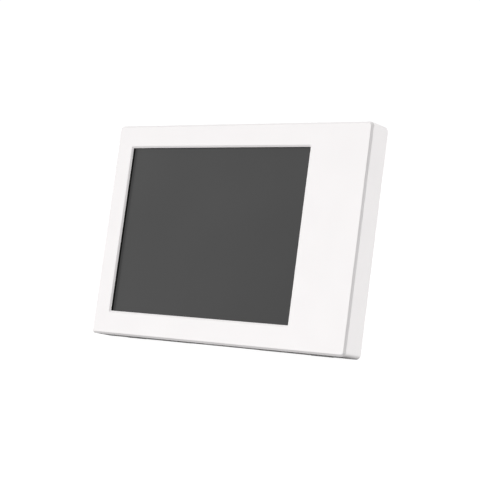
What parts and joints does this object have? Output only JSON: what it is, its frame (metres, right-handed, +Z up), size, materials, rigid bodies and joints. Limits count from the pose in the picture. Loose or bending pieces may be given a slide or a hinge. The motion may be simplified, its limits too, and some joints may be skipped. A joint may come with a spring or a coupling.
{
  "type": "digital photo frame",
  "caption": "White tabletop digital photo frame with an off-centre 4:3 screen, leaning back on a fold-out rear leg; push buttons on top.",
  "frame": {"origin": "centre of the footprint of the standing frame, on the table top", "axes": "+X to the frame's right as seen from the front, +Y to the back, +Z up; the front faces -Y and leans back 12 degrees"},
  "size_m": [0.2278, 0.061, 0.1564],
  "materials": {
    "case_white": "fine satin",
    "button_white": "satin",
    "gasket_foam": "matt closed-cell foam",
    "black_steel": "black coated",
    "screen": "anti-glare, unlit",
    "film": "optical film",
    "clear_acrylic": "clear polished",
    "led_package": "phosphor",
    "inner_plastic": "moulded",
    "steel": "tin plated",
    "screw_steel": "zinc plated",
    "circuit_board": "solder mask",
    "flex_film": "polyimide",
    "connector_plastic": "moulded",
    "chip_epoxy": "moulded epoxy",
    "chip_ceramic": "fired ceramic",
    "cable_jacket": "soft jacket",
    "can_aluminium": "bare can",
    "speaker_metal": "black",
    "speaker_cone": "pressed paper",
    "mesh_cloth": "fine weave",
    "grip_rubber": "matt",
    "magnet": "nickel plated",
    "label_film": "blank film"
  },
  "bodies": {
    "frame": {"antenna_cable": "cable_jacket", "backlight_leds": "led_package", "base_feet": "grip_rubber", "board_screws": "screw_steel", "bracket_screws": "screw_steel", "button_board": "circuit_board", "button_board_screws": "screw_steel", "button_cable": "cable_jacket", "button_switches": "chip_epoxy", "cable_connectors": "connector_plastic", "capacitors": "can_aluminium", "card_socket": "steel", "case_screws": "screw_steel", "display_connector": "connector_plastic", "display_flex": "flex_film", "driver_chips": "chip_epoxy", "front_cover": "case_white", "inductors": "chip_epoxy", "latch_plate": "steel", "lcd_back_plate": "steel", "lcd_bezel": "black_steel", "lcd_brackets": "steel", "lcd_cell": "screen", "lcd_driver_board": "circuit_board", "lcd_mould_frame": "inner_plastic", "led_flex": "film", "light_guide": "clear_acrylic", "main_board": "circuit_board", "memory_chips": "chip_epoxy", "optical_films": "film", "processor": "chip_epoxy", "rating_label": "label_film", "rear_cover": "case_white", "reflector_sheet": "film", "shield_can": "steel", "small_components": "chip_ceramic", "speaker_cones": "speaker_cone", "speaker_frames": "speaker_metal", "speaker_mesh": "mesh_cloth", "speaker_screws": "screw_steel", "speaker_wires": "cable_jacket", "usb_socket": "steel", "usb_tongue": "chip_epoxy", "wifi_antenna": "flex_film", "wifi_module": "steel", "window_gasket": "gasket_foam"},
    "stand": {"stand_leg": "case_white", "stand_foot_pad": "grip_rubber", "stand_magnet": "magnet", "stand_pin": "screw_steel", "hinge_washers": "screw_steel"},
    "power": {"power_button": "button_white", "power_plunger": "chip_epoxy"},
    "previous": {"previous_button": "button_white", "previous_plunger": "chip_epoxy"},
    "next": {"next_button": "button_white", "next_plunger": "chip_epoxy"}
  },
  "joints": [
    {"name": "stand_hinge", "type": "hinge", "parent": "frame", "child": "stand", "pos_m": [0, 0.01098, 0.11359], "axis": [-1, 0, 0], "range_deg": [0, 20.75]},
    {"name": "power_press", "type": "slide", "parent": "frame", "child": "power", "axis": [0, -0.2079, -0.9781], "range_m": [0, 0.0005], "stiffness_N_per_m": 1500, "springref_m": -0.0003},
    {"name": "previous_press", "type": "slide", "parent": "frame", "child": "previous", "axis": [0, -0.2079, -0.9781], "range_m": [0, 0.0005], "stiffness_N_per_m": 1500, "springref_m": -0.0003},
    {"name": "next_press", "type": "slide", "parent": "frame", "child": "next", "axis": [0, -0.2079, -0.9781], "range_m": [0, 0.0005], "stiffness_N_per_m": 1500, "springref_m": -0.0003}
  ]
}
